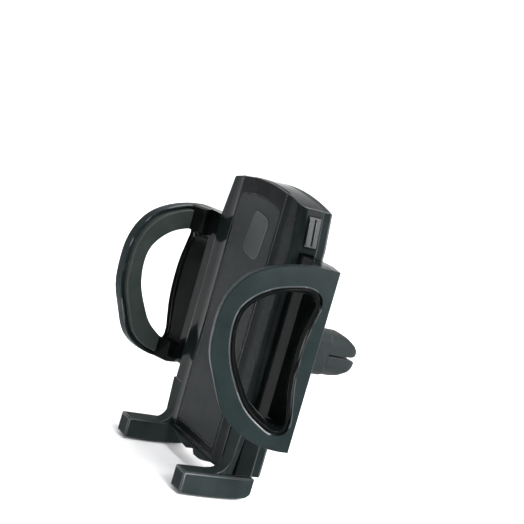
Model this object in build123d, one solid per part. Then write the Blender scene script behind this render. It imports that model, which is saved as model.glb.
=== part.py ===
"""Clip-on car vent holder for a hand-held device.

Millimetres, +X to the right, +Y to the back, +Z up. The holder is drawn in the cradle's own
layout, with Y = 0 on the cover's front face and Z = 0 on the top of the feet, and every piece is
then moved so that the origin lies between the two prongs, where the louvre blade sits.
"""
from math import atan2, cos, degrees, pi, radians, sin, sqrt
import os

from build123d import *

os.makedirs("parts", exist_ok=True)

# Body of the cradle: two shells with a cover on the front.
body_width = 57.0
crown_height = 93.8
crown_drop = 3.4
corner_taper = 2.3
taper_height = 12.3
body_bottom = 0.6
shell_front = 0.5
front_wall = 2.7
part_line = 9.0
body_depth = 13.0
wall = 1.6
edge_round = 3.0
rear_chamfer = 1.0
strip_width = 3.0

cover_width = 32.2
cover_thickness = 1.5
cover_bottom = 1.6
cover_gap = 0.15
panel_margin = 1.7
panel_drop = 5.8
panel_bottom = 4.6
panel_arch = 2.0
panel_depth = 0.7
badge_width = 15.0
badge_height = 11.6
badge_lean = 8.0
badge_drop = 12.6
badge_offset = 3.0
badge_thickness = 1.0
badge_sink = 0.7
badge_round = 3.2

# Slot in each side of the body, where the arms slide.
slot_bottom = 18.8
shoulder_depth = 17.8
rail = 1.0
slide_gap = 0.2
close_travel = 10.5
open_travel = 3.0

# Rack and pinion that move the two arms together.
gear_module = 0.9
pinion_teeth = 12
tooth_share = 0.43
addendum = 0.75
dedendum = 1.05
axle_radius = 1.5
running_clearance = 0.06
pinion_cup_radius = 3.2
pinion_web = 2.0
spring_wire = 0.5
spring_turns = 4
spring_pitch = 0.6
spring_radius = 2.5

# Ratchet on the right slide, its pawl and the release button above it.
ratchet_pitch = 1.5
ratchet_depth = 0.9
ratchet_start = 11.0
pawl_pivot_x = 6.0
pawl_pivot_height = 3.3
pawl_pin_radius = 0.9
pawl_reach = 9.0
pawl_tooth_width = 1.6
pawl_front_gap = 1.4
pawl_share = 0.44
pawl_bar = 1.6
pawl_clearance = 0.15
pawl_window_before = 3.0
pawl_window_after = 3.4
button_lever = 4.6
button_bottom_above_slot = 2.4
button_height = 9.6
button_proud = 0.5
button_gap = 0.2
button_depth = 4.4
button_rib = 0.8
button_rib_proud = 0.6
button_flange = 1.2
stem_height = 2.0
stem_inset = 0.2
pawl_spring_wire = 0.35
pawl_spring_radius = 1.35
pawl_spring_pitch = 0.45
pawl_spring_turns = 3

# Ring arms.
ring_standoff = 21.1
toe_angle = 15.9
ring_depth = 33.0
ring_back = 6.0
ring_height = 58.4
ring_thickness = 3.8
gusset_depth = 10.0
gusset_front = 3.0
gusset_slope = 1.5
ring_bevel = 0.4
pad_thickness = 2.8
pad_recess = 1.0
pad_lip = 0.9
pad_groove = 0.8
pad_end = 3.4
pad_edge = 0.15
pad_chamfer = 0.3

# Shapes of the ring and of its opening: share of the depth forward from the back edge, and
# share of the height up from the lower end.
ring_shape = [
    (0.0, 1.0), (0.27, 0.993), (0.49, 0.967), (0.815, 0.873), (0.985, 0.70), (1.0, 0.56),
    (0.975, 0.435), (0.85, 0.273), (0.70, 0.127), (0.50, 0.046), (0.315, 0.008), (0.0, 0.0),
]
opening_shape = [
    (0.091, 0.830), (0.136, 0.866), (0.218, 0.882), (0.364, 0.872), (0.545, 0.839), (0.703, 0.781),
    (0.818, 0.695), (0.842, 0.594), (0.815, 0.486), (0.761, 0.396), (0.670, 0.301), (0.524, 0.185),
    (0.318, 0.104), (0.155, 0.079), (0.079, 0.106), (0.061, 0.166), (0.088, 0.250), (0.127, 0.361),
    (0.145, 0.490), (0.136, 0.640), (0.103, 0.747),
]
# The same points where the opening's walls meet the pad, in the same order.
throat_shape = [
    (0.109, 0.795), (0.152, 0.824), (0.230, 0.839), (0.364, 0.832), (0.515, 0.803), (0.648, 0.752),
    (0.748, 0.678), (0.773, 0.592), (0.752, 0.497), (0.700, 0.414), (0.609, 0.324), (0.476, 0.221),
    (0.294, 0.146), (0.173, 0.118), (0.103, 0.130), (0.085, 0.182), (0.103, 0.257), (0.133, 0.361),
    (0.148, 0.490), (0.142, 0.640), (0.118, 0.733),
]

# Foot bracket: two feet, two legs and a cross bar with a notch for a charging lead.
foot_inner = 21.3
foot_width = 7.6
foot_height = 7.6
foot_front = 15.2
foot_back = 10.8
foot_chamfer = 0.5
leg_front = 0.9
leg_thickness = 2.1
leg_height = 15.3
leg_taper = 1.9
leg_fillet = 5.0
leg_gap = 0.2
tongue_width = 1.6
tongue_thickness = 1.2
bar_depth = 6.0
bar_top = 0.35
bar_drop = 2.4
notch_width = 3.8
notch_top = 1.0

# Ball joint behind the body.
ball_radius = 6.5
ball_center = 21.4
seat_thickness = 1.75
seat_front = 5.2
seat_back = 3.6
seat_slit = 1.0
neck_wall = 2.15
neck_back = 3.2
neck_slit = 1.2
collar_wall = 2.5
collar_front_gap = 0.6
collar_lip = 1.6
collar_lip_gap = 0.6
collar_flutes = 12
flute_radius = 1.4
stem_radius = 3.2
stud_flange_radius = 5.5
stud_flange = 1.4
stud_length = 8.6
shank_radius = 2.2
shank_length = 6.0
stud_screw_radius = 1.1
stud_screw_head = 2.4
stud_screw_head_height = 1.6

# Vent clip.
louvre_height = 40.0
louvre_back = 45.0
base_width = 12.4
base_height = 16.4
base_back = 39.2
base_round = 4.2
prong_pivot_back = 35.6
prong_pivot_height = 4.6
prong_barrel_radius = 1.6
prong_width = 9.2
prong_thickness = 1.6
prong_length = 11.4
prong_angle = 5.0
prong_clearance = 0.08
sleeve_width = 11.6
sleeve_length = 12.8
sleeve_height = 8.1
sleeve_start_gap = 0.35
louvre_gap = 0.7
sleeve_round = 5.2
sleeve_flat_share = 0.24
sleeve_dome_power = 1.5
sleeve_plan_share = 0.28
sleeve_plan_power = 3.4
sleeve_entry_share = 0.66
sleeve_entry_lift = 1.5

# Screws that hold the two shells together.
screw_radius = 1.25
screw_head_radius = 2.5
screw_head_height = 1.4
screw_boss_radius = 2.8
screw_clearance = 0.05
lower_screw = (22.0, 8.5)
upper_screw_x = 15.0
upper_screw_drop = 5.2

half = body_width / 2
panel_top = crown_height - panel_drop
badge_height_on_panel = panel_top - badge_drop
slot_top = crown_height - shoulder_depth
upper_screw = (upper_screw_x, crown_height - upper_screw_drop)
inner_face = shell_front + front_wall
rear_inner = body_depth - wall
pawl_front = inner_face + pawl_front_gap
pawl_thickness = pawl_share * (rear_inner - pawl_front)
stem_depth = pawl_thickness - 2 * stem_inset
slide_front = inner_face + slide_gap
slide_back = part_line - slide_gap
web_bottom = slot_bottom + slide_gap
web_top = slot_top - slide_gap
pitch_radius = gear_module * pinion_teeth / 2
pinion_height = (slot_bottom + slot_top) / 2


def block(x0, x1, y0, y1, z0, z1):
    """Box between two corners."""
    return Pos((x0 + x1) / 2, (y0 + y1) / 2, (z0 + z1) / 2) * Box(x1 - x0, y1 - y0, z1 - z0)


def face_of(points):
    """Flat face with straight sides."""
    return make_face(Polyline(*points, close=True))


def along_y(sketch, y0, y1):
    """Sketch drawn in (x, z), pulled from y0 to y1."""
    return extrude(Plane((0, y0, 0), x_dir=(1, 0, 0), z_dir=(0, -1, 0)) * sketch, -(y1 - y0))


def along_x(sketch, x0, x1):
    """Sketch drawn in (y, z), pulled from x0 to x1."""
    return extrude(Plane.YZ.offset(x0) * sketch, x1 - x0)


def along_z(sketch, z0, z1):
    """Sketch drawn in (x, y), pulled from z0 to z1."""
    return extrude(Plane.XY.offset(z0) * sketch, z1 - z0)


def rod_y(x, z, radius, y0, y1):
    """Round bar along Y."""
    return along_y(Pos(x, z) * Circle(radius), y0, y1)


def rod_x(y, z, radius, x0, x1):
    """Round bar along X."""
    return along_x(Pos(y, z) * Circle(radius), x0, x1)


def mirrored(shape):
    """The same shape on the other side of the middle plane."""
    return mirror(shape, about=Plane.YZ)


def body_outline(inset=0.0):
    """Front view of the body: straight sides, leaning upper corners and an arched crown."""
    side = half - inset
    shoulder = crown_height - crown_drop - taper_height
    corner = side - corner_taper
    low = body_bottom + inset
    top = crown_height - inset
    edges = Polyline((-corner, top - crown_drop), (-side, shoulder), (-side, low), (side, low),
                     (side, shoulder), (corner, top - crown_drop))
    crown = ThreePointArc((corner, top - crown_drop), (0, top), (-corner, top - crown_drop))
    return make_face([*edges.edges(), *crown.edges()])


def band(x0, x1, z0, z1):
    """Rectangle in the front view."""
    return face_of([(x0, z0), (x1, z0), (x1, z1), (x0, z1)])


# Front shell.
front_blank = along_y(body_outline(), shell_front, part_line)
corner_edges = [e for e in front_blank.edges().filter_by(Axis.Z)
                if e.center().Y < shell_front + 0.01]
slanted_edges = [e for e in front_blank.edges().filter_by(GeomType.LINE)
                 if e.center().Y < shell_front + 0.01 and abs(e.center().X) > half - corner_taper
                 and e not in corner_edges]
front_blank = fillet(corner_edges + slanted_edges, edge_round)
strip_inner = cover_width / 2 + cover_gap
strip_outer = strip_inner + strip_width
raised = along_z(face_of([(-strip_outer, shell_front + 0.01), (-strip_outer, shell_front),
                          (-strip_inner, 0), (strip_inner, 0), (strip_outer, shell_front),
                          (strip_outer, shell_front + 0.01)]), body_bottom, crown_height)
raised &= along_y(body_outline(), 0, part_line)
front_shell = front_blank + raised

cavity_side = half - wall
lower_floor = inner_face + wall
cavity = along_y(body_outline(wall) & band(-half, half, slot_bottom - rail, crown_height),
                 inner_face, part_line)
lower_cavity = along_y(body_outline(wall) & band(-half, half, 0, slot_bottom), lower_floor,
                       part_line)
side_slots = block(-half, half, inner_face, part_line, slot_bottom, slot_top)
front_shell -= cavity + lower_cavity + side_slots

# Rails above and below the slides, the upper one with a window for the pawl's tooth.
rail_span = along_y(body_outline(wall / 2) & band(-half, half, slot_top, slot_top + rail),
                    inner_face, part_line)
lower_rail = along_y(body_outline(wall / 2) & band(-half, half, slot_bottom - rail, slot_bottom),
                     inner_face, part_line)
tooth_x = pawl_pivot_x + pawl_reach
pawl_window = block(tooth_x - pawl_window_before, tooth_x + pawl_window_after, inner_face, part_line,
                    slot_top, slot_top + rail)
front_shell += (rail_span - pawl_window) + lower_rail

# Pocket for the cover, the pockets beside it for the bracket's legs, and their tongue grooves.
cover_half = cover_width / 2
front_shell -= block(-strip_inner, strip_inner, -1, cover_thickness + cover_gap,
                     cover_bottom - cover_gap, crown_height + 1)
leg_inner = foot_inner - leg_gap
leg_back = leg_front + leg_thickness
leg_pocket = block(leg_inner, half + 1, -1, leg_back + leg_gap, body_bottom - 1,
                   leg_height + leg_gap)
tongue_front = leg_back - leg_gap - tongue_thickness
tongue_inner = foot_inner - tongue_width
tongue_groove = block(tongue_inner - leg_gap, foot_inner, tongue_front - leg_gap,
                      tongue_front + tongue_thickness + leg_gap, body_bottom - 1,
                      leg_height + leg_gap)
front_shell -= leg_pocket + mirrored(leg_pocket) + tongue_groove + mirrored(tongue_groove)

# Screw bosses.
screw_places = [(side * place[0], place[1]) for place in (lower_screw, upper_screw)
                for side in (-1, 1)]
pilot = screw_radius + screw_clearance
for x, z in screw_places:
    floor = lower_floor if z < slot_bottom else inner_face
    front_shell += rod_y(x, z, screw_boss_radius, floor - 0.1, part_line)
    front_shell -= rod_y(x, z, pilot, floor + 0.6, part_line)

# Pivot pin of the pawl, and the window of the release button.
pawl_z = slot_top + pawl_pivot_height
front_shell += rod_y(pawl_pivot_x, pawl_z, pawl_pin_radius, inner_face - 0.1,
                     pawl_front + pawl_thickness + pawl_spring_pitch * pawl_spring_turns + 0.5)
button_z0 = slot_top + button_bottom_above_slot
button_z1 = button_z0 + button_height
button_y0 = inner_face + 0.7
button_y1 = button_y0 + button_depth
front_shell -= block(half - 3 * wall - corner_taper, half + 1, button_y0 - button_gap,
                     button_y1 + button_gap, button_z0 - button_gap, button_z1 + button_gap)

# Cover, its soft panel and a bare badge plate.
cover_area = body_outline(0.2) & band(-cover_half, cover_half, cover_bottom, crown_height)
cover = along_y(cover_area, 0, cover_thickness)
panel_side = cover_half - panel_margin
panel_arc = ThreePointArc((panel_side, panel_top - panel_arch), (0, panel_top),
                          (-panel_side, panel_top - panel_arch))
panel_sides = Polyline((-panel_side, panel_top - panel_arch), (-panel_side, panel_bottom),
                       (panel_side, panel_bottom), (panel_side, panel_top - panel_arch))
panel_area = make_face([*panel_arc.edges(), *panel_sides.edges()])
panel_area = fillet(panel_area.vertices(), 1.5)
cover -= along_y(offset(panel_area, cover_gap), 0, panel_depth)
panel = along_y(panel_area, 0.1, panel_depth)
badge_area = RectangleRounded(badge_height, badge_width, badge_round)
badge_place = Pos(badge_offset, badge_height_on_panel) * Rot(0, 0, -badge_lean)
panel -= along_y(badge_place * offset(badge_area, 0.1), 0, badge_sink)
badge = along_y(badge_place * badge_area, badge_sink - badge_thickness + 0.2, badge_sink)

# Rear shell with guide ribs, screw holes and the pinion's axle.
rear_shell = along_y(body_outline(), part_line, body_depth)
rear_shell -= along_y(body_outline(wall), part_line, rear_inner)
rear_shell = chamfer([e for e in rear_shell.edges() if abs(e.center().Y - body_depth) < 0.01],
                     rear_chamfer)
rib_levels = [web_bottom + 2.0, pinion_height - pitch_radius - 4.0, pinion_height + pitch_radius + 4.0,
              web_top - 3.6]
for level in rib_levels:
    rear_shell += block(-cavity_side - 0.1, cavity_side + 0.1, part_line, rear_inner + 0.1,
                        level, level + wall)
head_seat = body_depth - screw_head_height - 0.2
for x, z in screw_places:
    rear_shell += rod_y(x, z, screw_boss_radius + 0.8, part_line, rear_inner + 0.1)
    rear_shell -= rod_y(x, z, screw_radius + 0.25, part_line, body_depth)
    rear_shell -= rod_y(x, z, screw_head_radius + 0.2, head_seat, body_depth)
rear_shell += rod_y(0, pinion_height, axle_radius, slide_front + 0.3, rear_inner + 0.1)

# Socket neck: a slit spherical cup that holds the seat ring.
seat_radius = ball_radius + running_clearance + seat_thickness
cup_radius = seat_radius + 0.1
neck_radius = cup_radius + neck_wall
neck_end = ball_center + neck_back
neck = rod_y(0, louvre_height, neck_radius, body_depth - 0.1, neck_end)
cup = Pos(0, ball_center, louvre_height) * Sphere(cup_radius)
mouth = rod_y(0, louvre_height, sqrt(cup_radius ** 2 - neck_back ** 2), ball_center, neck_end)
neck -= cup + mouth
for turn in (0, 90):
    slit = block(-neck_radius - 1, neck_radius + 1, ball_center - 2, neck_end + 1,
                 -neck_slit / 2, neck_slit / 2)
    neck -= Pos(0, 0, louvre_height) * (Rot(0, turn, 0) * slit)
rear_shell += neck

screws = []
for x, z in screw_places:
    shank = rod_y(x, z, screw_radius, lower_floor + 1.2, head_seat)
    head = rod_y(x, z, screw_head_radius, head_seat, head_seat + screw_head_height)
    cross = block(x - 1.5, x + 1.5, body_depth - 1.2, body_depth, z - 0.35, z + 0.35)
    cross += block(x - 0.35, x + 0.35, body_depth - 1.2, body_depth, z - 1.5, z + 1.5)
    screws.append(shank + head - cross)

# Collar nut round the neck.
collar_inner = neck_radius + running_clearance
collar_radius = collar_inner + collar_wall
collar_start = body_depth + collar_front_gap
lip_start = neck_end + collar_lip_gap
collar_end = lip_start + collar_lip
collar = rod_y(0, louvre_height, collar_radius, collar_start, collar_end)
collar = chamfer(collar.edges().filter_by(GeomType.CIRCLE), 0.6)
collar -= rod_y(0, louvre_height, collar_inner, collar_start, lip_start)
lip_radius = sqrt(seat_radius ** 2 - (lip_start - ball_center) ** 2) + 0.5
collar -= rod_y(0, louvre_height, lip_radius, lip_start - 0.1, collar_end)
for index in range(collar_flutes):
    turn = 2 * pi * index / collar_flutes
    flute_x = (collar_radius + 0.75 * flute_radius) * cos(turn)
    flute_z = louvre_height + (collar_radius + 0.75 * flute_radius) * sin(turn)
    collar -= rod_y(flute_x, flute_z, flute_radius, collar_start, collar_end)

# Seat ring between ball and cup.
seat = Pos(0, ball_center, louvre_height) * Sphere(seat_radius)
seat &= block(-seat_radius, seat_radius, ball_center - seat_front, ball_center + seat_back,
              louvre_height - seat_radius, louvre_height + seat_radius)
seat -= Pos(0, ball_center, louvre_height) * Sphere(ball_radius + running_clearance)
seat -= block(-seat_slit / 2, seat_slit / 2, ball_center - seat_radius,
              ball_center + seat_radius, louvre_height, louvre_height + seat_radius)

# Ball stud, its flange and its shank in the clip's base.
flange_start = ball_center + stud_length
flange_end = flange_start + stud_flange
shank_end = flange_end + shank_length
stud = Pos(0, ball_center, louvre_height) * Sphere(ball_radius)
stud += rod_y(0, louvre_height, stem_radius, ball_center, flange_start + 0.1)
stud += rod_y(0, louvre_height, stud_flange_radius, flange_start, flange_end)
stud += rod_y(0, louvre_height, shank_radius, flange_end - 0.1, shank_end)
stud -= rod_y(0, louvre_height, stud_screw_radius + 0.02, flange_end, shank_end)
stud_screw = rod_y(0, louvre_height, stud_screw_radius, flange_end + 0.6, shank_end + 0.1)
head_start = shank_end + 0.1
head_end = head_start + stud_screw_head_height
stud_screw += rod_y(0, louvre_height, stud_screw_head, head_start, head_end)
stud_screw -= along_y(Pos(0, louvre_height) * RegularPolygon(stud_screw_head / 2, 6), head_end - 1.0,
                      head_end)

# Base of the clip: a rounded block with two barrel pockets.
base_front = flange_end + 0.1
clip_base = block(-base_width / 2, base_width / 2, base_front, base_back,
                  louvre_height - base_height / 2, louvre_height + base_height / 2)
clip_base = fillet(clip_base.edges().filter_by(Axis.Y), base_round)
clip_base = chamfer([e for e in clip_base.edges() if abs(e.center().Y - base_front) < 0.01], 0.8)
clip_base -= rod_y(0, louvre_height, shank_radius + running_clearance, base_front - 1, base_back)
clip_base -= rod_y(0, louvre_height, stud_screw_head + 0.2, shank_end, base_back)
pocket_half = prong_width / 2 + 0.2
throat_low = prong_thickness / 2 + 0.2
throat_high = prong_thickness / 2 + 0.2 + (base_back - prong_pivot_back) * sin(
    radians(prong_angle))
for side in (1, -1):
    pivot_z = louvre_height + side * prong_pivot_height
    clip_base -= rod_x(prong_pivot_back, pivot_z, prong_barrel_radius + prong_clearance,
                       -pocket_half, pocket_half)
    edges_z = sorted((pivot_z - side * throat_low, pivot_z + side * throat_high))
    clip_base -= block(-pocket_half, pocket_half, prong_pivot_back, base_back, *edges_z)


def prong(side):
    """Stiff core of one prong: a barrel in the base and a flat tongue."""
    z = louvre_height + side * prong_pivot_height
    core = rod_x(prong_pivot_back, z, prong_barrel_radius, -prong_width / 2, prong_width / 2)
    core += block(-prong_width / 2 + 0.2, prong_width / 2 - 0.2, prong_pivot_back,
                  prong_pivot_back + prong_length, z - prong_thickness / 2,
                  z + prong_thickness / 2)
    return core


def fall(share, power):
    """Height left of a rounded end, from 1 at its start to 0 at its tip."""
    return (1 - share ** power) ** (1 / power)


def sleeve(side):
    """Soft sleeve over a prong: flat towards the louvre, domed outside, with a parted tip."""
    y0 = base_back + sleeve_start_gap
    low = louvre_gap / 2
    high = sleeve_height
    dome_start = y0 + sleeve_flat_share * sleeve_length
    dome_run = (1 - sleeve_flat_share) * sleeve_length
    shares = [0.0, 0.15, 0.30, 0.45, 0.60, 0.72, 0.82, 0.90]
    points = [(dome_start + dome_run * share, high * fall(share, sleeve_dome_power))
              for share in shares]
    top = Spline(*points, tangents=[(1, 0), (1, -1.75)])
    entry_start = y0 + sleeve_entry_share * sleeve_length
    entry_run = y0 + sleeve_length - entry_start
    entry = [(entry_start + entry_run * share, low + sleeve_entry_lift * share ** 2)
             for share in (0.0, 0.3, 0.55, 0.75)]
    entry_line = Spline(*entry, tangents=[(1, 0), (1, 0.5)])
    tip_y = points[-1][0] + 0.25 * (points[-1][1] - entry[-1][1])
    tip = ThreePointArc(points[-1], (tip_y, (points[-1][1] + entry[-1][1]) / 2), entry[-1])
    rest = Polyline(entry[0], (y0, low), (y0, high), points[0])
    profile = make_face([*top.edges(), *tip.edges(), *entry_line.edges(), *rest.edges()])
    if side < 0:
        profile = mirror(profile, about=Plane.XZ)
    body = along_x(Pos(0, louvre_height) * profile, -sleeve_width / 2, sleeve_width / 2)
    corners = [(-sleeve_width / 2, -side), (sleeve_width / 2, -side),
               (sleeve_width / 2, side * high), (-sleeve_width / 2, side * high)]
    section = face_of(corners)
    section = fillet([v for v in section.vertices() if abs(v.Y) > 2], sleeve_round)
    straight_end = y0 + sleeve_plan_share * sleeve_length
    plan_run = (1 - sleeve_plan_share) * sleeve_length
    half_width = sleeve_width / 2
    round_end = [(half_width * fall(share, sleeve_plan_power), straight_end + plan_run * share)
                 for share in (0.0, 0.25, 0.5, 0.7, 0.85, 0.95)] + [(0, straight_end + plan_run)]
    right_end = Spline(*round_end, tangents=[(0, 1), (-1, 0)])
    left_end = mirror(right_end, about=Plane.YZ)
    sides = Polyline((half_width, straight_end), (half_width, y0), (-half_width, y0),
                     (-half_width, straight_end))
    plan = make_face([*right_end.edges(), *left_end.edges(), *sides.edges()])
    body &= along_y(Pos(0, louvre_height) * section, y0, y0 + sleeve_length)
    body &= along_z(plan, louvre_height - 2 * high, louvre_height + 2 * high)
    z = louvre_height + side * prong_pivot_height
    body -= block(-prong_width / 2, prong_width / 2, y0 - 1,
                  prong_pivot_back + prong_length + prong_clearance,
                  z - prong_thickness / 2 - prong_clearance,
                  z + prong_thickness / 2 + prong_clearance)
    return body


def rack_teeth(edge_z, points_up, x0, x1):
    """Trapezoid teeth on a straight rack whose pitch line lies at edge_z."""
    pitch = pi * gear_module
    way = 1 if points_up else -1
    slope = 0.36
    root = -dedendum * gear_module * way
    tip = addendum * gear_module * way
    half_pitch_tooth = tooth_share * pitch / 2
    teeth = None
    count = int(max(abs(x0), abs(x1)) / pitch) + 1
    for index in range(-count, count + 1):
        x = index * pitch
        if x - pitch / 2 < x0 or x + pitch / 2 > x1:
            continue
        wide = half_pitch_tooth + slope * abs(root)
        narrow = half_pitch_tooth - slope * abs(tip)
        tooth = face_of([(x - wide, edge_z + 1.15 * root), (x + wide, edge_z + 1.15 * root),
                         (x + narrow, edge_z + tip), (x - narrow, edge_z + tip)])
        teeth = tooth if teeth is None else teeth + tooth
    return along_y(teeth, slide_front, slide_back)


def involute(base, radius):
    """Polar angle of the involute of a base circle at a radius."""
    spread = sqrt(max(radius ** 2 / base ** 2 - 1, 0))
    return spread - atan2(spread, 1)


# Pinion with involute teeth, a cup for its spring and a running bore on the axle.
gear_root = pitch_radius - dedendum * gear_module
gear_tip = pitch_radius + addendum * gear_module
base_circle = pitch_radius * cos(radians(20))
half_tooth = tooth_share * pi / pinion_teeth
pinion_area = Circle(gear_root)
for index in range(pinion_teeth):
    middle = 2 * pi * (index + 0.5) / pinion_teeth + pi / 2
    flank = []
    for step in range(5):
        radius = base_circle + (gear_tip - base_circle) * step / 4
        swing = half_tooth + involute(base_circle, pitch_radius) - involute(base_circle, radius)
        flank.append((radius, swing))
    left = [(r * cos(middle + s), r * sin(middle + s)) for r, s in flank]
    right = [(r * cos(middle - s), r * sin(middle - s)) for r, s in reversed(flank)]
    inner = 0.9 * gear_root
    start = flank[0][1]
    foot = [(inner * cos(middle - start), inner * sin(middle - start)),
            (inner * cos(middle + start), inner * sin(middle + start))]
    pinion_area += face_of(foot + left + right)
pinion_front = slide_front + 0.3
pinion_back = slide_back
pinion = along_y(Pos(0, pinion_height) * pinion_area, pinion_front, pinion_back)
pinion -= rod_y(0, pinion_height, axle_radius + running_clearance, pinion_front, pinion_back)
pinion -= rod_y(0, pinion_height, pinion_cup_radius, pinion_front + pinion_web, pinion_back)



def coil_spring(x, y, z, radius, wire, pitch, turns):
    """Torsion spring round an axis along Y, starting at y."""
    path = Helix(pitch, pitch * turns, radius)
    section = Plane(path @ 0, z_dir=path % 0) * Circle(wire / 2)
    return Pos(x, y, z) * (Rot(-90, 0, 0) * sweep(section, path=path, is_frenet=True))


pinion_spring = coil_spring(0, pinion_front + pinion_web + spring_wire, pinion_height,
                            spring_radius, spring_wire, spring_pitch, spring_turns)


def ring_point(share):
    """Point of the ring's outline in the plate's plane."""
    return (ring_back - share[0] * ring_depth, web_top - (1 - share[1]) * ring_height)


ring_plane = Plane((half + ring_standoff, 0, 0),
                   x_dir=(sin(radians(toe_angle)), cos(radians(toe_angle)), 0),
                   z_dir=(cos(radians(toe_angle)), -sin(radians(toe_angle)), 0))
ring_curve = Spline(*[ring_point(s) for s in ring_shape])
opening_curve = Spline(*[ring_point(s) for s in opening_shape], periodic=True)
throat_curve = Spline(*[ring_point(s) for s in throat_shape], periodic=True)


def beside(curve, gap, count):
    """Points at a constant distance to the left of a flat curve."""
    points = []
    for step in range(count):
        share = step / (count - 1)
        at, way = curve @ share, curve % share
        points.append((at.X - gap * way.Y, at.Y + gap * way.X))
    return points


def ring_inside(gap):
    """Area of the ring's outline, drawn in by a gap."""
    curve = Spline(*beside(ring_curve, gap, 32))
    return make_face([*curve.edges(), *Line(curve @ 1, curve @ 0).edges()])


def throat_outside(gap):
    """Area of the opening's throat, drawn out by a gap."""
    curve = Spline(*beside(throat_curve, -gap, 33)[:-1], periodic=True)
    return make_face(curve.edges())


ring_area = make_face([*ring_curve.edges(), *Line(ring_curve @ 1, ring_curve @ 0).edges()])
opening_area = make_face(opening_curve.edges())
throat_area = make_face(throat_curve.edges())
recess_area = ring_inside(pad_lip) & band(-2 * ring_depth, -pad_end + pad_groove, 0, crown_height)
pad_area = ring_inside(pad_lip + pad_groove) - throat_outside(pad_edge)
pad_area &= band(-2 * ring_depth, -pad_end, 0, crown_height)


def on_ring(sketch, near, far):
    """Sketch in the plate's plane, pulled between two depths inwards from the outer face."""
    return extrude(ring_plane.offset(-near) * sketch, -(far - near))


def plan_point(back, depth):
    """Point in the top view, given along the ring's plate and inwards from its outer face."""
    spot = ring_plane.origin + ring_plane.x_dir * back - ring_plane.z_dir * depth
    return (spot.X, spot.Y)


def right_arm_blank():
    """Ring plate with its funnel-shaped opening, gusset and web, without the slide."""
    ring = on_ring(ring_area, 0, ring_thickness)
    ring = chamfer([e for e in ring.edges() if abs(ring_plane.to_local_coords(e.center()).Z) < 0.01
                    and e.length > 20], ring_bevel)
    ring -= on_ring(recess_area, ring_thickness - pad_recess, ring_thickness)
    gusset = along_z(face_of([plan_point(-gusset_front, ring_thickness - 0.2),
                              plan_point(-gusset_front + gusset_slope, gusset_depth),
                              plan_point(ring_back, gusset_depth),
                              plan_point(ring_back, ring_thickness - 0.2)]), 0, crown_height)
    ring += gusset & on_ring(ring_area, 0, gusset_depth + 1)
    inner_x, inner_y = plan_point(ring_back - 1.0, gusset_depth)
    web = along_z(face_of([(half - 1.3, slide_front), (inner_x + 1.0, slide_front),
                           (inner_x + 2.0, inner_y - 1.0), (inner_x + 0.5, slide_back),
                           (half - 1.3, slide_back)]), web_bottom, web_top)
    funnel_depth = ring_thickness - pad_recess
    funnel = loft([ring_plane.offset(0.01) * opening_area,
                   ring_plane.offset(-funnel_depth) * throat_area])
    return ring + web - funnel - on_ring(throat_area, funnel_depth - 0.01, gusset_depth + 3)


arm_blank = right_arm_blank()
rack_gap = 1.0
slide_tip = close_travel * 0.3
rack_high = pinion_height + pitch_radius
rack_low = pinion_height - pitch_radius
web_inner = half - 1.3
right_slide = block(-slide_tip, web_inner + 0.1, slide_front, slide_back,
                    rack_high + dedendum * gear_module, web_top)
right_slide += rack_teeth(rack_high, False, -slide_tip - 0.3, close_travel + 3 * gear_module)
left_slide = block(-web_inner - 0.1, slide_tip, slide_front, slide_back, web_bottom,
                   rack_low - dedendum * gear_module)
left_slide += rack_teeth(rack_low, True, -close_travel - 3 * gear_module, slide_tip + 0.3)
notches = None
x = ratchet_start
while x + ratchet_pitch < web_inner - 0.2:
    notch = face_of([(x, web_top + 0.1), (x + ratchet_pitch, web_top + 0.1),
                     (x + ratchet_pitch, web_top - ratchet_depth)])
    notches = notch if notches is None else notches + notch
    x += ratchet_pitch
right_slide -= along_y(notches, slide_front, slide_back)
arm_right = arm_blank + right_slide
arm_left = mirrored(arm_blank) + left_slide
pad_right = on_ring(pad_area, ring_thickness - pad_recess,
                    ring_thickness - pad_recess + pad_thickness)
pad_right = chamfer([e for e in pad_right.edges()
                     if abs(ring_plane.to_local_coords(e.center()).Z + ring_thickness - pad_recess
                            + pad_thickness) < 0.01], pad_chamfer)
pad_left = mirrored(pad_right)

# Pawl: a bell crank on its pin, with a tooth over the ratchet.
tooth_tip = web_top + pawl_clearance
pawl_low = slot_top + rail + 0.3
pawl_area = face_of([
    (pawl_pivot_x, pawl_low), (tooth_x + pawl_tooth_width / 2, pawl_low),
    (tooth_x + pawl_tooth_width / 2, pawl_low + pawl_bar),
    (pawl_pivot_x + 1.6, pawl_low + pawl_bar), (pawl_pivot_x + 0.9, pawl_z + button_lever + 1.6),
    (pawl_pivot_x - 1.2, pawl_z + button_lever + 1.6)])
pawl_tooth = face_of([(tooth_x - pawl_tooth_width / 2, pawl_low + 0.1),
                      (tooth_x + pawl_tooth_width / 2, pawl_low + 0.1),
                      (tooth_x + pawl_tooth_width / 2, tooth_tip),
                      (tooth_x + pawl_tooth_width / 2 - 0.6, tooth_tip)])
pawl_area += pawl_tooth + Pos(pawl_pivot_x, pawl_z) * Circle(pawl_pin_radius + 1.0)
pawl_area -= Pos(pawl_pivot_x, pawl_z) * Circle(pawl_pin_radius + running_clearance)
pawl = along_y(pawl_area, pawl_front, pawl_front + pawl_thickness)

pawl_spring = coil_spring(pawl_pivot_x, pawl_front + pawl_thickness + pawl_spring_wire, pawl_z,
                          pawl_spring_radius, pawl_spring_wire, pawl_spring_pitch,
                          pawl_spring_turns)

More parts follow.
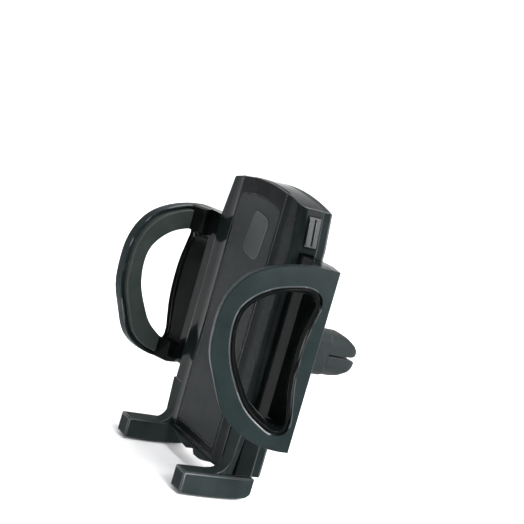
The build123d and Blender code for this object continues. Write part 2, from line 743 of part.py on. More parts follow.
# Release button in the right shoulder: a ribbed cap, a flange behind the wall and a stem.
cap_zone = block(half - 3 * wall - corner_taper, half + 2, button_y0, button_y1, button_z0, button_z1)
cap_inner = along_y(body_outline(wall + button_flange), button_y0 - 1, button_y1 + 1)
button = (along_y(body_outline(-button_proud), button_y0, button_y1) & cap_zone) - cap_inner
rib_shape = along_y(body_outline(-button_proud - button_rib_proud), button_y0, button_y1)
for rib_y in (button_y0, button_y0 + button_depth * 0.55):
    rib_zone = block(half - corner_taper - 2, half + 2, rib_y, rib_y + button_rib, button_z0 + 0.6,
                     button_z1 - 0.6)
    button += (rib_shape & rib_zone) - cap_inner
flange_zone = block(half - 3 * wall - corner_taper, half, button_y0 - 0.5, button_y1 + 0.5,
                    button_z0 - 0.8, button_z1 + 0.8)
button += (along_y(body_outline(wall + 0.1), inner_face, part_line) & flange_zone) - cap_inner
stem_z = pawl_z + button_lever
stem_y0 = pawl_front + (pawl_thickness - stem_depth) / 2
stem_end = pawl_pivot_x + 1.3
flange_x = half - wall - button_flange - corner_taper * (button_z1 - crown_height + crown_drop
                                                         + taper_height) / taper_height
button += block(stem_end, flange_x + 1.6, stem_y0, stem_y0 + stem_depth,
                stem_z - stem_height / 2, stem_z + stem_height / 2)

# Foot bracket.
foot_outer = foot_inner + foot_width
foot_side = Spline((-foot_front, -foot_height + 0.3), (-foot_front * 0.4, -foot_height),
                   (foot_back * 0.4, -foot_height + 0.2), (foot_back - 1.6, -foot_height + 1.3),
                   (foot_back, -foot_height + 3.2))
foot_rest = Polyline((foot_back, -foot_height + 3.2), (foot_back, 0), (-foot_front, 0),
                     (-foot_front, -foot_height + 0.3))
foot = along_x(make_face([*foot_side.edges(), *foot_rest.edges()]), foot_inner, foot_outer)
foot = chamfer([e for e in foot.edges() if e.geom_type == GeomType.LINE
                and abs(e.center().X - (foot_inner + foot_width / 2)) > foot_width / 2 - 0.01
                or abs(e.center().Y + foot_front) < 0.01 and e.length > foot_width - 0.1],
               foot_chamfer)
leg = along_y(face_of([(foot_inner, -0.1), (foot_outer - leg_taper, -0.1),
                       (foot_outer, leg_height), (foot_inner, leg_height)]), leg_front, leg_back)
root_arc = ThreePointArc((leg_front - leg_fillet, -0.05),
                         (leg_front - leg_fillet * (1 - sin(radians(45))),
                          leg_fillet * (1 - sin(radians(45)))), (leg_front, leg_fillet))
root_lines = Polyline((leg_front, leg_fillet), (leg_back, leg_fillet), (leg_back, -0.05),
                      (leg_front - leg_fillet, -0.05))
leg += along_x(make_face([*root_arc.edges(), *root_lines.edges()]), foot_inner,
               foot_outer - leg_taper)
leg += block(tongue_inner, foot_inner + 0.1, tongue_front, tongue_front + tongue_thickness,
             bar_top - 0.2, leg_height)
bar_curve = Spline((foot_inner + 0.2, -0.2), (0.66 * foot_inner, -0.8),
                   (0.40 * foot_inner, -bar_drop + 0.15), (notch_width / 2 + 1.2, -bar_drop))
bar_lines = Polyline((notch_width / 2 + 1.2, -bar_drop), (notch_width / 2, -bar_drop + 1.0),
                     (notch_width / 2, -notch_top), (0, -notch_top), (0, bar_top),
                     (foot_inner + 0.2, bar_top), (foot_inner + 0.2, -0.2))
bar = along_y(make_face([*bar_curve.edges(), *bar_lines.edges()]), 0, bar_depth)
half_bracket = foot + leg + bar
foot_bracket = half_bracket + mirrored(half_bracket)

pieces = {
    "front_shell": front_shell,
    "rear_shell": rear_shell,
    "front_cover": cover,
    "front_panel": panel,
    "badge_plate": badge,
    "shell_screws": screws,
    "arm_right": arm_right,
    "arm_left": arm_left,
    "pad_right": pad_right,
    "pad_left": pad_left,
    "pinion": pinion,
    "pinion_spring": pinion_spring,
    "pawl": pawl,
    "pawl_spring": pawl_spring,
    "release_button": button,
    "foot_bracket": foot_bracket,
    "ball_seat": seat,
    "collar_nut": collar,
    "ball_stud": stud,
    "stud_screw": stud_screw,
    "clip_base": clip_base,
    "prong_upper": prong(1),
    "prong_lower": prong(-1),
    "sleeve_upper": sleeve(1),
    "sleeve_lower": sleeve(-1),
}


to_louvre = Pos(0, -louvre_back, -louvre_height)
for name, shape in pieces.items():
    solids = shape if isinstance(shape, list) else [shape]
    placed = [solid for item in solids for solid in (to_louvre * item).solids()]
    export_step(Compound(children=placed) if len(placed) > 1 else placed[0], f"parts/{name}.step")
    print(name, len(placed), round(sum(solid.volume for solid in placed), 1))
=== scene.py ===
"""Air vent phone holder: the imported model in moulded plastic, rubber and metal finishes.

Metres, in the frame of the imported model: +X right, +Y back, +Z up, origin between the two prongs.
Lengths given in millimetres are multiplied by MM where they are used.
"""
from math import cos, radians, sin

import bmesh
import bpy
from mathutils import Matrix, Vector


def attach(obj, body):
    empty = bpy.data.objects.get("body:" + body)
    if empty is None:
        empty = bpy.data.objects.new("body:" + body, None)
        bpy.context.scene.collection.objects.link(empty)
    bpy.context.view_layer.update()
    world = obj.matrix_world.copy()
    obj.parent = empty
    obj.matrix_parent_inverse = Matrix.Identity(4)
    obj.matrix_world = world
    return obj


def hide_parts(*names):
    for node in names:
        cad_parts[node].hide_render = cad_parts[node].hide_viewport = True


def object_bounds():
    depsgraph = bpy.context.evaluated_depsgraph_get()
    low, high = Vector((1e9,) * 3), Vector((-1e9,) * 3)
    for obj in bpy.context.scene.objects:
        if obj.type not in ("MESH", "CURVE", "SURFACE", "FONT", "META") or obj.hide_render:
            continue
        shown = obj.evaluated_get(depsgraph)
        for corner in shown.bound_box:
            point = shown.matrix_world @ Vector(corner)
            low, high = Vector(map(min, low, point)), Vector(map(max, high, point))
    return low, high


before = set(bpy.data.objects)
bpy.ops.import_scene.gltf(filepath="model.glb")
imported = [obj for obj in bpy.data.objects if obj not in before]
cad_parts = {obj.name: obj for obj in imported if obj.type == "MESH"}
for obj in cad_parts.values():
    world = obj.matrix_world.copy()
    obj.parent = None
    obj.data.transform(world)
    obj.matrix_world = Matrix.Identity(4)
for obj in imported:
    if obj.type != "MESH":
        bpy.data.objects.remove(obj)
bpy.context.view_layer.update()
MM = 0.001

# Camera: the photograph's viewpoint, its roll and its long lens.
CAMERA_PLACE = (0.3820, -0.2505, 0.0828)
CAMERA_VIEW = (-0.8669, 0.4819, -0.1276)
CAMERA_UP = (-0.2411, -0.1811, 0.9535)
CAMERA_CLIP = 0.01
FOCAL_PIXELS = 1305.34
PHOTO_PIXELS = 524
SENSOR_MM = 36.0

# The colour sockets of Blender's Mix node, which share their names with its other sockets.
MIX_FIRST, MIX_SECOND, MIX_RESULT = 6, 7, 2


class Finish:
    """A node material with short calls for the nodes that every finish needs."""

    def __init__(self, name):
        self.material = bpy.data.materials.new(name)
        self.material.use_nodes = True
        self.tree = self.material.node_tree
        self.tree.nodes.clear()
        self.shader = self.node("ShaderNodeBsdfPrincipled")
        self.join(self.shader.outputs["BSDF"],
                  self.node("ShaderNodeOutputMaterial").inputs["Surface"])
        self.place = self.node("ShaderNodeTexCoord").outputs["Object"]

    def node(self, kind, **settings):
        made = self.tree.nodes.new(kind)
        for key, value in settings.items():
            setattr(made, key, value)
        return made

    def join(self, output, socket):
        self.tree.links.new(output, socket)

    def noise(self, size, detail, rough=0.5, stretch=(1, 1, 1)):
        """Noise whose features are about size metres across."""
        scaled = self.node("ShaderNodeMapping")
        scaled.inputs["Scale"].default_value = stretch
        self.join(self.place, scaled.inputs["Vector"])
        made = self.node("ShaderNodeTexNoise")
        made.inputs["Scale"].default_value = 1 / size
        made.inputs["Detail"].default_value = detail
        made.inputs["Roughness"].default_value = rough
        self.join(scaled.outputs["Vector"], made.inputs["Vector"])
        return made.outputs["Fac"]

    def cells(self, size):
        """Cell pattern whose cells are about size metres across."""
        made = self.node("ShaderNodeTexVoronoi", feature="F1")
        made.inputs["Scale"].default_value = 1 / size
        self.join(self.place, made.inputs["Vector"])
        return made.outputs["Distance"]

    def spread(self, value, low, high, to_low, to_high):
        """value between low and high, spread over to_low and to_high."""
        made = self.node("ShaderNodeMapRange")
        for key, number in (("From Min", low), ("From Max", high),
                            ("To Min", to_low), ("To Max", to_high)):
            made.inputs[key].default_value = number
        self.join(value, made.inputs["Value"])
        return made.outputs["Result"]

    def maths(self, operation, first, second):
        """One sum of two values; either is a number or another node's output."""
        made = self.node("ShaderNodeMath", operation=operation)
        for socket, value in zip(made.inputs, (first, second)):
            if isinstance(value, (int, float)):
                socket.default_value = value
            else:
                self.join(value, socket)
        return made.outputs["Value"]

    def mixture(self, first, first_share, second, second_share):
        """Two values, each times its share, added up."""
        return self.maths("ADD", self.maths("MULTIPLY", first, first_share),
                          self.maths("MULTIPLY", second, second_share))

    def blend(self, share, first, second):
        """Colour between first and second; either is a colour or another node's output."""
        made = self.node("ShaderNodeMix", data_type="RGBA")
        self.join(share, made.inputs["Factor"])
        for number, value in ((MIX_FIRST, first), (MIX_SECOND, second)):
            if isinstance(value, tuple):
                made.inputs[number].default_value = (*value, 1.0)
            else:
                self.join(value, made.inputs[number])
        return made.outputs[MIX_RESULT]

    def edges(self):
        """1 along the middle of a rounded edge, 0 on the flats."""
        return self.node("ShaderNodeAttribute", attribute_name="edge_amount").outputs["Fac"]

    def edge_shine(self, flats, gain):
        """Specular level of the flats, raised by gain along the rounded edges."""
        self.join(self.spread(self.edges(), 0.0, 1.0, flats, flats + gain),
                  self.shader.inputs["Specular IOR Level"])

    def crown(self, low, high, rise):
        """Height field that swells between two heights of the part, as a domed face does."""
        level = self.node("ShaderNodeSeparateXYZ")
        self.join(self.place, level.inputs["Vector"])
        share = self.spread(level.outputs["Z"], low, high, 0.0, 1.0)
        return self.maths("MULTIPLY", self.maths("MULTIPLY", share, share), rise)

    def bump(self, height, depth, strength, below=None):
        """Normals of a relief depth metres high, on top of another bump where one is given."""
        made = self.node("ShaderNodeBump")
        made.inputs["Strength"].default_value = strength
        made.inputs["Distance"].default_value = depth
        self.join(height, made.inputs["Height"])
        if below is not None:
            self.join(below, made.inputs["Normal"])
        return made.outputs["Normal"]

    def connect(self, colour, rough, normal):
        self.join(colour, self.shader.inputs["Base Color"])
        self.join(rough, self.shader.inputs["Roughness"])
        self.join(normal, self.shader.inputs["Normal"])


def chalky(colour, lift):
    """The colour that a film of dust or bloom gives a dark surface."""
    return tuple(0.02 + lift * channel for channel in colour)


# In every finish, dark and light are the two ends of the surface's slow colour drift, rough is its
# roughness and level its specular level; grain and depth are millimetres.
def spark_texture(name, dark, light, wear_and_highlight_colour, rough, grain=0.28, depth=0.020, level=0.5,
                  edge_amount=0.55, domed=None):
    """Moulded plastic from a spark-eroded tool: fine pits, slow colour drift, polished edges.

    The edge colour is lighter than the flats, partly from rubbing and partly as a painted highlight
    along the rounded edges; the edge amount is the most of it that shows there, and domed holds
    what crown is called with.
    """
    made = Finish(name)
    drift = made.noise(9 * MM, detail=3.0, rough=0.55)
    speck = made.noise(grain * 2.2 * MM, detail=2.0, rough=0.7)
    tone = made.mixture(drift, 0.7, speck, 0.3)
    colour = made.blend(made.spread(tone, 0.38, 0.62, 0.0, 1.0), dark, light)
    # Rounded edges take the lighter edge colour, partly from rubbing and partly as a painted
    # highlight.
    edge_blend = made.maths("MULTIPLY", made.edges(),
                        made.spread(drift, 0.35, 0.65, 0.4 * edge_amount, edge_amount))
    colour = made.blend(edge_blend, colour, wear_and_highlight_colour)
    matte = made.spread(speck, 0.3, 0.7, rough - 0.05, rough + 0.06)
    matte = made.maths("SUBTRACT", matte, made.maths("MULTIPLY", edge_blend, 0.16))
    pits = made.cells(grain * MM)
    grit = made.noise(grain * 0.7 * MM, detail=2.0, rough=0.6)
    normal = made.bump(made.mixture(pits, 0.6, grit, 0.5), depth * MM, strength=0.85)
    normal = made.bump(made.noise(14 * MM, detail=1.0), 0.05 * MM, strength=0.25, below=normal)
    if domed:
        normal = made.bump(made.crown(*domed), 1.0, strength=1.0, below=normal)
    made.connect(colour, matte, normal)
    made.edge_shine(level, gain=0.35)
    return made.material


def polished(name, dark, light, rough, level=0.5, haze=0.05):
    """High-gloss moulding: slow sink ripples, hairline scuffs and a film of dust."""
    made = Finish(name)
    slow = made.noise(11 * MM, detail=2.0, rough=0.5)
    dust = made.noise(1.1 * MM, detail=6.0, rough=0.75)
    hair = made.noise(0.5 * MM, detail=4.0, rough=0.8, stretch=(1.0, 1.0, 0.06))
    colour = made.blend(made.spread(slow, 0.35, 0.65, 0.0, 1.0), dark, light)
    film = made.spread(dust, 0.58, 0.82, 0.0, 0.14)
    colour = made.blend(film, colour, chalky(light, 1.2))
    scuff = made.spread(hair, 0.60, 0.78, 0.0, haze)
    gloss = made.maths("ADD", made.spread(dust, 0.35, 0.75, rough, rough + haze), scuff)
    gloss = made.maths("ADD", gloss, made.maths("MULTIPLY", made.edges(), 0.06))
    normal = made.bump(slow, 0.048 * MM, strength=0.5)
    normal = made.bump(hair, 0.0012 * MM, strength=0.6, below=normal)
    made.connect(colour, gloss, normal)
    made.edge_shine(level, gain=0.45)
    return made.material


def rubber(name, dark, light, rough, grain, depth, sheen, level=0.2):
    """Soft thermoplastic rubber: open pores, chalky bloom, edges lighter from rubbing."""
    made = Finish(name)
    bloom = made.noise(6 * MM, detail=4.0, rough=0.6)
    pores = made.cells(grain * MM)
    fine = made.noise(grain * 0.45 * MM, detail=3.0, rough=0.65)
    tone = made.mixture(bloom, 0.6, fine, 0.4)
    colour = made.blend(made.spread(tone, 0.36, 0.64, 0.0, 1.0), dark, light)
    edge_blend = made.maths("MULTIPLY", made.edges(), made.spread(bloom, 0.3, 0.7, 0.2, 0.6))
    colour = made.blend(edge_blend, colour, chalky(light, 1.6))
    matte = made.spread(bloom, 0.3, 0.7, rough - 0.06, rough + 0.08)
    height = made.mixture(pores, 0.7, fine, 0.5)
    made.connect(colour, matte, made.bump(height, depth * MM, strength=0.9))
    made.shader.inputs["Specular IOR Level"].default_value = level
    made.shader.inputs["Sheen Weight"].default_value = sheen
    made.shader.inputs["Sheen Roughness"].default_value = 0.45
    return made.material


def metal(name, dark, light, rough, lines):
    """Turned or drawn steel: fine tool lines, slight staining in patches."""
    made = Finish(name)
    tool = made.noise(0.22 * MM, detail=3.0, rough=0.7, stretch=lines)
    stain = made.noise(3.0 * MM, detail=4.0, rough=0.6)
    colour = made.blend(made.spread(stain, 0.35, 0.7, 0.0, 1.0), light, dark)
    shine = made.maths("ADD", made.spread(tool, 0.3, 0.7, rough - 0.06, rough + 0.1),
                       made.spread(stain, 0.4, 0.8, 0.0, 0.12))
    made.connect(colour, shine, made.bump(tool, 0.004 * MM, strength=0.7))
    made.shader.inputs["Metallic"].default_value = 1.0
    return made.material


# The fourth colour of each plastic below, several times lighter than its flats, is the colour of
# its rounded edges: partly rubbing, partly a painted highlight.
CHARCOAL = spark_texture(
    "charcoal_texture", (0.0046, 0.0086, 0.0089), (0.0076, 0.0130, 0.0134),
    (0.080, 0.092, 0.096), 0.40, level=0.07, domed=(0.010, 0.036, -0.0040))
CHARCOAL_FEET = spark_texture(
    "feet_texture", (0.0120, 0.0160, 0.0162), (0.0180, 0.0232, 0.0235),
    (0.062, 0.070, 0.072), 0.38, grain=0.22, level=0.01, edge_amount=0.35)
FUNNEL = polished("funnel_gloss", (0.0016, 0.0021, 0.0021), (0.0030, 0.0038, 0.0038), 0.10,
                  level=0.03)
GLOSS = polished("shell_gloss", (0.0030, 0.0044, 0.0046), (0.0052, 0.0074, 0.0077), 0.09,
                 level=0.035)
# The button's colours are lighter than the shell's gloss black of the same slot: a painted
# highlight standing for the glints on its ribs.
BUTTON = polished("button_gloss", (0.008, 0.010, 0.010), (0.013, 0.015, 0.015), 0.20,
                  level=0.20, haze=0.09)
COVER = polished("cover_gloss", (0.0028, 0.0034, 0.0036), (0.0050, 0.0060, 0.0062), 0.17,
                 level=0.02, haze=0.09)
PANEL = rubber("panel_soft_touch", (0.0080, 0.0100, 0.0104), (0.0122, 0.0148, 0.0153), 0.56,
               grain=0.3, depth=0.012, sheen=0.02, level=0.1)
BADGE = spark_texture(
    "badge_satin", (0.0105, 0.0135, 0.0145), (0.0150, 0.0190, 0.0200),
    (0.065, 0.070, 0.071), 0.36, grain=0.15, depth=0.008, level=0.15)
REAR = spark_texture(
    "rear_texture", (0.0050, 0.0072, 0.0074), (0.0080, 0.0112, 0.0115),
    (0.070, 0.080, 0.082), 0.46, grain=0.34, depth=0.026, level=0.03)
PAD = rubber("pad_rubber_bloom", (0.0130, 0.0182, 0.0168), (0.0200, 0.0265, 0.0243), 0.52,
             grain=0.35, depth=0.018, sheen=0.05)
SLEEVE = rubber("sleeve_rubber_bloom", (0.0085, 0.0112, 0.0117), (0.0135, 0.0175, 0.0180), 0.60,
                grain=0.55, depth=0.05, sheen=0.03, level=0.1)
COLLAR = spark_texture(
    "collar_texture", (0.0070, 0.0085, 0.0088), (0.0115, 0.0135, 0.0138),
    (0.040, 0.045, 0.046), 0.46, grain=0.3, level=0.3)
NYLON = spark_texture(
    "nylon_grey", (0.10, 0.10, 0.098), (0.14, 0.14, 0.136),
    (0.2, 0.2, 0.19), 0.42, grain=0.4, depth=0.012)
STEEL = metal("screw_steel", (0.20, 0.20, 0.21), (0.42, 0.42, 0.43), 0.30,
              lines=(1.0, 0.05, 1.0))
SPRING = metal("spring_steel", (0.26, 0.25, 0.24), (0.46, 0.45, 0.43), 0.26, lines=(1, 1, 1))
BALL = polished("ball_satin", (0.0040, 0.0050, 0.0052), (0.0080, 0.0095, 0.0098), 0.24, haze=0.1)

# Rounding, in degrees and metres: raised edges that turn by more than SHARP are rounded. Before
# that, points nearer than WELD are joined, and faces that turn by less than FLAT. Edges that still
# turn by more than CREASE are shaded as creases.
SHARP, FLAT, CREASE = 28.0, 0.6, 50.0
WELD = 1e-6
ROUND_STEPS = 3
# In widths of the rounding: the room that a face has to have beside an edge, the longest edge that
# can cramp a corner, the gap below which edges crowd each other, and the least length of an edge
# that is rounded by itself.
ROOM, CORNER_STUB, CROWDED_GAP, LONE_LENGTH = 2.0, 1.5, 2.4, 6.0
# Cosines: edges that run on into each other, a corner too sharp to round past, edges side by side.
RUNS_ON, CORNER_TURN, ALONGSIDE = 0.9, 0.77, 0.7
FILL_PASSES = 6
FACE_WEIGHT, WEIGHT_THRESHOLD = 100, 0.05


def heading(edge):
    """Unit vector along the edge."""
    return (edge.verts[1].co - edge.verts[0].co).normalized()


def carries_on(edge, corner, chosen):
    """True where a chosen edge runs on from this end of the edge in nearly the same direction."""
    return any(other is not edge and other in chosen
               and abs(heading(other).dot(heading(edge))) > RUNS_ON
               for other in corner.link_edges)


def crowded(edge, width):
    """True where another side of a face runs alongside the edge, too close for its rounding."""
    middle = (edge.verts[0].co + edge.verts[1].co) / 2
    along = heading(edge)
    for face in edge.link_faces:
        for other in face.edges:
            if other is edge:
                continue
            start, way = other.verts[0].co, heading(other)
            reach = min(max((middle - start).dot(way), 0.0), other.calc_length())
            gap = start + way * reach - middle
            if (gap.length < CROWDED_GAP * width and abs(way.dot(along)) > ALONGSIDE
                    and gap.cross(along).length > ALONGSIDE * gap.length):
                return True
    return False


def cramped(edge, sharp, width):
    """True where a short sharp edge turns away from either end of the edge."""
    return any(other is not edge and other in sharp
               and other.calc_length() <= CORNER_STUB * width
               and abs(heading(other).dot(heading(edge))) < CORNER_TURN
               for corner in edge.verts for other in corner.link_edges)


def roomy_edges(shape, width, careful):
    """Raised sharp edges that have room on both sides for a rounding of this width."""
    sharp = [edge for edge in shape.edges
             if edge.is_convex and edge.calc_face_angle() > radians(SHARP)]
    is_sharp = set(sharp)
    free = [edge for edge in sharp if not (careful and crowded(edge, width))]
    chosen = set()
    for edge in free:
        start, along = edge.verts[0].co, heading(edge)
        room = min(max((point.co - start).cross(along).length for point in face.verts)
                   for face in edge.link_faces)
        if room > ROOM * width and not cramped(edge, is_sharp, width):
            chosen.add(edge)
    for _ in range(FILL_PASSES):
        chosen.update([edge for edge in free if edge not in chosen
                       and all(carries_on(edge, corner, chosen) for corner in edge.verts)])
    lone = {edge for edge in chosen
            if not any(carries_on(edge, corner, chosen) for corner in edge.verts)
            and edge.calc_length() < LONE_LENGTH * width}
    return [edge for edge in free if edge in chosen and edge not in lone]


def softened(node, name, body, slot_name, material, radius):
    """The node's own solid with its raised edges rounded, as a moulded piece has them."""
    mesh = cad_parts[node].data.copy()
    mesh.name = name
    for layer in [a.name for a in mesh.attributes if a.name in ("sharp_edge", "custom_normal")]:
        mesh.attributes.remove(mesh.attributes[layer])
    shape = bmesh.new()
    shape.from_mesh(mesh)
    bmesh.ops.remove_doubles(shape, verts=shape.verts, dist=WELD)
    bmesh.ops.dissolve_limit(shape, angle_limit=radians(FLAT), verts=shape.verts,
                             edges=shape.edges)
    for face in shape.faces:
        face.material_index = 0
    rounded = bmesh.ops.bevel(shape, geom=roomy_edges(shape, radius * MM, node in NARROW),
                              offset=radius * MM, offset_type="OFFSET", segments=ROUND_STEPS,
                              profile=0.5, affect="EDGES", clamp_overlap=False, material=-1)
    # 1 on the rounded strips; the plastic finishes paint these edges lighter, partly as rubbing and
    # partly as a painted highlight.
    edge_amount = shape.verts.layers.float.new("edge_amount")
    strips = set(rounded["faces"])
    for point in shape.verts:
        point[edge_amount] = float(all(face in strips for face in point.link_faces))
    for face in shape.faces:
        face.smooth = True
    shape.to_mesh(mesh)
    shape.free()
    mesh.materials.clear()
    mesh.materials.append(material)
    mesh.set_sharp_from_angle(angle=radians(CREASE))
    piece = bpy.data.objects.new(name, mesh)
    bpy.context.scene.collection.objects.link(piece)
    weigh = piece.modifiers.new("shading", "WEIGHTED_NORMAL")
    weigh.keep_sharp = True
    weigh.weight = FACE_WEIGHT
    weigh.thresh = WEIGHT_THRESHOLD
    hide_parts(node)
    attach(piece, body)
    return piece


# Nodes with webs too narrow to round on both sides.
NARROW = ("front_shell", "release_button")
# Node: name of its piece, body, slot, finish and radius of the rounding in millimetres.
OUTER = {
    "front_shell": ("shell_front_gloss", "cradle", "gloss_black", GLOSS, 0.26),
    "front_cover": ("cover_plate", "cradle", "gloss_black", COVER, 0.25),
    "front_panel": ("panel_inset", "cradle", "panel_soft", PANEL, 0.25),
    "badge_plate": ("badge_bare", "cradle", "badge", BADGE, 0.25),
    "rear_shell": ("shell_rear", "cradle", "rear_black", REAR, 0.35),
    "release_button": ("button_ribbed", "button", "gloss_black", BUTTON, 0.12),
    "foot_bracket": ("feet_bracket", "feet", "charcoal", CHARCOAL_FEET, 0.35),
    "arm_right": ("ring_arm_right", "right_arm", "charcoal", CHARCOAL, 0.45),
    "arm_left": ("ring_arm_left", "left_arm", "charcoal", CHARCOAL, 0.45),
    "pad_right": ("ring_pad_right", "right_arm", "pad_rubber", PAD, 0.30),
    "pad_left": ("ring_pad_left", "left_arm", "pad_rubber", PAD, 0.30),
    "clip_base": ("clip_block", "vent_clip", "charcoal", SLEEVE, 0.30),
    "prong_upper": ("prong_core_upper", "upper_prong", "charcoal", COLLAR, 0.15),
    "prong_lower": ("prong_core_lower", "lower_prong", "charcoal", COLLAR, 0.15),
    "sleeve_upper": ("lobe_upper", "upper_prong", "sleeve_rubber", SLEEVE, 0.30),
    "sleeve_lower": ("lobe_lower", "lower_prong", "sleeve_rubber", SLEEVE, 0.30),
    "collar_nut": ("collar_fluted", "collar", "charcoal", COLLAR, 0.30),
}
outer = {node: softened(node, *look) for node, look in OUTER.items()}

# The ring arms' openings: share of the ring's depth forward from its back edge, and share of its
# height up from its lower end, in the plane of the ring's outer face.
OPENING = [
    (0.091, 0.830), (0.136, 0.866), (0.218, 0.882), (0.364, 0.872), (0.545, 0.839), (0.703, 0.781),
    (0.818, 0.695), (0.842, 0.594), (0.815, 0.486), (0.761, 0.396), (0.670, 0.301), (0.524, 0.185),
    (0.318, 0.104), (0.155, 0.079), (0.079, 0.106), (0.061, 0.166), (0.088, 0.250), (0.127, 0.361),
    (0.145, 0.490), (0.136, 0.640), (0.103, 0.747),
]
# The ring, in millimetres: its size, its back and top edges as seen from RING_ORIGIN, and the
# angle by which its plane toes in.
RING_DEPTH, RING_HEIGHT, RING_BACK, RING_TOP = 33.0, 58.4, 6.0, 75.8
RING_THICKNESS = 3.8
RING_ORIGIN = Vector((49.6, -45.0, -40.0))
TOE = radians(15.9)
ALONG = Vector((sin(TOE), cos(TOE), 0))
OUTWARD = Vector((cos(TOE), -sin(TOE), 0))
# What is polished: faces inside the opening's outline with this margin, unless their normal's
# cosine to the ring's outer face is that of a flat side, and faces this far behind the ring.
WALL_MARGIN, FLAT_SIDE, SLIDE_START = 0.25, 0.985, 0.2
# The bead: how far inside the opening's outline and below the outer face it runs, its radius, and
# its steps around and along.
BEAD_INSET, BEAD_DEPTH, BEAD_RADIUS = 1.0, 0.95, 0.55
BEAD_AROUND, BEAD_ALONG = 5, 8


def ring_flat(share):
    """Place in the ring's plane, in millimetres along the plate and up."""
    return Vector((RING_BACK - share[0] * RING_DEPTH, RING_TOP - (1 - share[1]) * RING_HEIGHT))


def drawn_in(points, gap):
    """The closed outline moved inwards by gap."""
    count = len(points)
    area = sum(points[i].x * points[(i + 1) % count].y - points[(i + 1) % count].x * points[i].y
               for i in range(count))
    turn = 1 if area > 0 else -1
    moved = []
    for i, point in enumerate(points):
        way = (points[(i + 1) % count] - points[i - 1]).normalized()
        moved.append(point + turn * gap * Vector((-way.y, way.x)))
    return moved


def inside(point, outline):
    """True where the point lies within the closed outline."""
    hit = False
    for i, near in enumerate(outline):
        far = outline[i - 1]
        if (near.y > point.y) != (far.y > point.y):
            cross = near.x + (point.y - near.y) / (far.y - near.y) * (far.x - near.x)
            hit ^= point.x < cross
    return hit


opening_line = [ring_flat(share) for share in OPENING]


def gloss_opening(piece, side):
    """Gives the walls of the ring's opening and the slide behind it the polished finish."""
    piece.data.materials.append(FUNNEL)
    edge = drawn_in(opening_line, -WALL_MARGIN)
    for face in piece.data.polygons:
        centre = face.center / MM
        normal = face.normal.copy()
        centre.x *= side
        normal.x *= side
        spot = centre - RING_ORIGIN
        depth = -spot.dot(OUTWARD)
        wall = (abs(normal.dot(OUTWARD)) < FLAT_SIDE
                and inside(Vector((spot.dot(ALONG), spot.z)), edge))
        if wall or depth > RING_THICKNESS + SLIDE_START:
            face.material_index = 1


def opening_bead(name, side, body):
    """Rounded bead that runs round the opening on its sloping wall."""
    curve = bpy.data.curves.new(name, "CURVE")
    curve.dimensions = "3D"
    curve.bevel_depth = BEAD_RADIUS * MM
    curve.bevel_resolution = BEAD_AROUND
    curve.resolution_u = BEAD_ALONG
    line = curve.splines.new("BEZIER")
    points = drawn_in(opening_line, BEAD_INSET)
    line.bezier_points.add(len(points) - 1)
    for knot, flat in zip(line.bezier_points, points):
        spot = RING_ORIGIN + ALONG * flat.x + Vector((0, 0, flat.y)) - OUTWARD * BEAD_DEPTH
        knot.co = Vector((spot.x * side, spot.y, spot.z)) * MM
        knot.handle_left_type = knot.handle_right_type = "AUTO"
    line.use_cyclic_u = True
    shape = bpy.data.objects.new(name + "_curve", curve)
    bpy.context.scene.collection.objects.link(shape)
    mesh = bpy.data.meshes.new_from_object(
        shape.evaluated_get(bpy.context.evaluated_depsgraph_get()))
    bpy.data.objects.remove(shape)
    mesh.name = name
    mesh.materials.clear()
    mesh.materials.append(FUNNEL)
    for face in mesh.polygons:
        face.use_smooth = True
        face.material_index = 0
    bead = bpy.data.objects.new(name, mesh)
    bpy.context.scene.collection.objects.link(bead)
    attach(bead, body)


for side, arm, word in ((1, "arm_right", "right"), (-1, "arm_left", "left")):
    gloss_opening(outer[arm], side)
    opening_bead("opening_bead_" + word, side, word + "_arm")

# Nodes that stay as they are packed, with a finish of their own.
CARRIED = {
    "shell_screws": STEEL, "stud_screw": STEEL, "pinion": NYLON, "pinion_spring": SPRING,
    "pawl": NYLON, "pawl_spring": SPRING, "ball_seat": NYLON, "ball_stud": BALL,
}
for node, material in CARRIED.items():
    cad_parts[node].data.materials.clear()
    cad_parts[node].data.materials.append(material)

# The stage, in metres: the gap between holder and floor, how far out and up the floor reaches, the
# radius of its bend, the share of its reach that its middle disc takes, and its steps.
FLOOR_GAP = 0.0005
FLOOR_REACH, FLOOR_RISE, FLOOR_BEND = 4.6, 3.6, 2.4
DISC_SHARE = 0.4
BEND_STEPS, FLOOR_SIDES = 16, 96


def sweep(name, level):
    """Round floor that curves up into a backdrop on every side of the holder."""
    flat_reach = FLOOR_REACH - FLOOR_BEND
    profile = [(DISC_SHARE * FLOOR_REACH, 0.0), (flat_reach, 0.0)]
    for step in range(1, BEND_STEPS + 1):
        turn = radians(90.0 * step / BEND_STEPS)
        profile.append((flat_reach + FLOOR_BEND * sin(turn), FLOOR_BEND - FLOOR_BEND * cos(turn)))
    profile.append((FLOOR_REACH, FLOOR_RISE))
    verts = [(0.0, 0.0, level)]
    for away, up in profile:
        for index in range(FLOOR_SIDES):
            turn = radians(360.0 * index / FLOOR_SIDES)
            verts.append((away * cos(turn), away * sin(turn), level + up))
    faces = [(0, 1 + index, 1 + (index + 1) % FLOOR_SIDES) for index in range(FLOOR_SIDES)]
    for row in range(len(profile) - 1):
        near, far = 1 + row * FLOOR_SIDES, 1 + (row + 1) * FLOOR_SIDES
        for index in range(FLOOR_SIDES):
            after = (index + 1) % FLOOR_SIDES
            faces.append((near + index, far + index, far + after, near + after))
    mesh = bpy.data.meshes.new(name)
    mesh.from_pydata(verts, [], faces)
    for polygon in mesh.polygons:
        polygon.use_smooth = True
    piece = bpy.data.objects.new(name, mesh)
    bpy.context.scene.collection.objects.link(piece)
    return piece


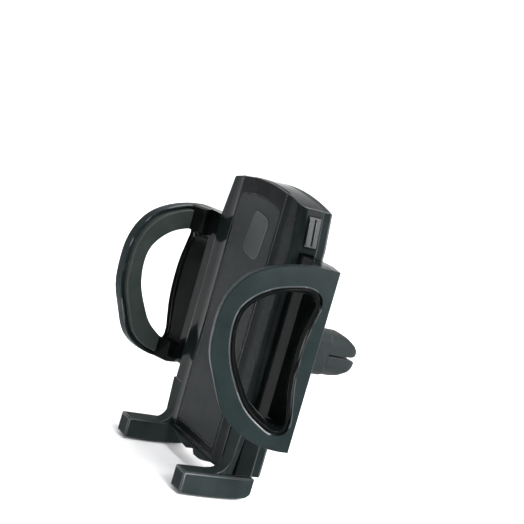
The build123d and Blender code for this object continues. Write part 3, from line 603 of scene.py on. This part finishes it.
paper = Finish("studio_paper")
fibre = paper.noise(2.5 * MM, detail=4.0, rough=0.6)
paper.connect(
    paper.blend(paper.spread(fibre, 0.3, 0.7, 0.0, 1.0), (0.86, 0.86, 0.865), (0.89, 0.89, 0.893)),
    paper.spread(fibre, 0.3, 0.7, 0.78, 0.9),
    paper.bump(fibre, 0.02 * MM, strength=0.3))
floor = sweep("studio_floor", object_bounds()[0][2] - FLOOR_GAP)
floor.data.materials.append(paper.material)

# The middle of the holder, which every lamp points at.
AIM = Vector((0.0, -0.04, 0.0))


def softbox(name, place, size, power):
    """Rectangular lamp that points at the middle of the holder."""
    light = bpy.data.lights.new(name, "AREA")
    light.shape = "RECTANGLE"
    light.size, light.size_y = size
    light.energy = power
    lamp = bpy.data.objects.new(name, light)
    lamp.location = place
    lamp.rotation_euler = (AIM - Vector(place)).to_track_quat("-Z", "Y").to_euler()
    bpy.context.scene.collection.objects.link(lamp)


softbox("fill_right", (2.3, 1.10, 1.15), size=(1.3, 1.3), power=78.0)
softbox("over_right", (2.3, -0.1, 1.8), size=(1.0, 1.0), power=105.0)
softbox("over_behind", (-1.25, 1.45, 2.3), size=(1.5, 1.5), power=40.0)
softbox("top", (0.3, 0.5, 2.9), size=(2.2, 2.2), power=58.0)
softbox("strip_front", (1.3, -2.3, 0.8), size=(0.12, 2.4), power=9.0)
softbox("strip_ahead", (-0.1, -2.4, 0.9), size=(0.14, 2.0), power=9.0)
softbox("edge_behind", (0.15, 2.4, 0.15), size=(0.35, 1.4), power=26.0)

world = bpy.data.worlds.new("pale_room")
bpy.context.scene.world = world
world.use_nodes = True
room_light = world.node_tree.nodes["Background"]
room_light.inputs["Color"].default_value = (0.96, 0.97, 1.0, 1.0)
room_light.inputs["Strength"].default_value = 0.30

view = Vector(CAMERA_VIEW).normalized()
up = Vector(CAMERA_UP)
up = (up - view * up.dot(view)).normalized()
right = view.cross(up)
camera = bpy.data.cameras.new("photo_camera")
camera.sensor_width = SENSOR_MM
camera.lens = FOCAL_PIXELS / PHOTO_PIXELS * SENSOR_MM
camera.clip_start = CAMERA_CLIP
tripod = bpy.data.objects.new("photo_camera", camera)
tripod.matrix_world = (Matrix.Translation(CAMERA_PLACE)
                       @ Matrix((right, up, -view)).transposed().to_4x4())
bpy.context.scene.collection.objects.link(tripod)
bpy.context.scene.camera = tripod
bpy.context.scene.view_settings.view_transform = "Standard"
